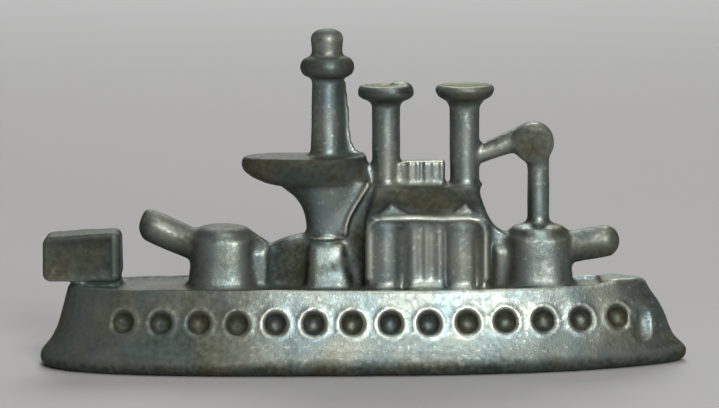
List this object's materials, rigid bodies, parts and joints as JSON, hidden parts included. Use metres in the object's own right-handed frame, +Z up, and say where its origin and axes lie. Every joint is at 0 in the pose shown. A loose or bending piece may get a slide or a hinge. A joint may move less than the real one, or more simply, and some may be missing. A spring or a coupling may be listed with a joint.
{
  "type": "warship game token",
  "caption": "Small cast metal warship playing piece with hull, portholes, gun turrets, tower, deckhouse, funnels, crane and flag, resting on its flat base.",
  "frame": {"origin": "centre of the flat base of the hull", "axes": "+X along the hull towards the bow, +Y to port, +Z up"},
  "size_m": [0.034, 0.009, 0.0175],
  "materials": {
    "cast_metal": "satin",
    "dark_cast_metal": "satin"
  },
  "bodies": {
    "root": {"ship_hull": "cast_metal", "main_deck": "cast_metal", "flag_foot": "cast_metal", "stern_flag": "dark_cast_metal", "aft_turret": "cast_metal", "aft_gun": "cast_metal", "low_wall": "cast_metal", "tower_base": "cast_metal", "tower_pedestal": "cast_metal", "bridge_platform": "dark_cast_metal", "mast": "cast_metal", "fighting_top": "dark_cast_metal", "lookout": "cast_metal", "tower_wall": "cast_metal", "deckhouse": "cast_metal", "deckhouse_roof": "dark_cast_metal", "skylight": "cast_metal", "aft_funnel": "cast_metal", "aft_funnel_cap": "dark_cast_metal", "fore_funnel": "cast_metal", "fore_funnel_cap": "dark_cast_metal", "fore_turret": "cast_metal", "fore_gun": "cast_metal", "crane_post": "cast_metal", "crane_head": "dark_cast_metal", "crane_jib": "cast_metal"}
  },
  "joints": []
}
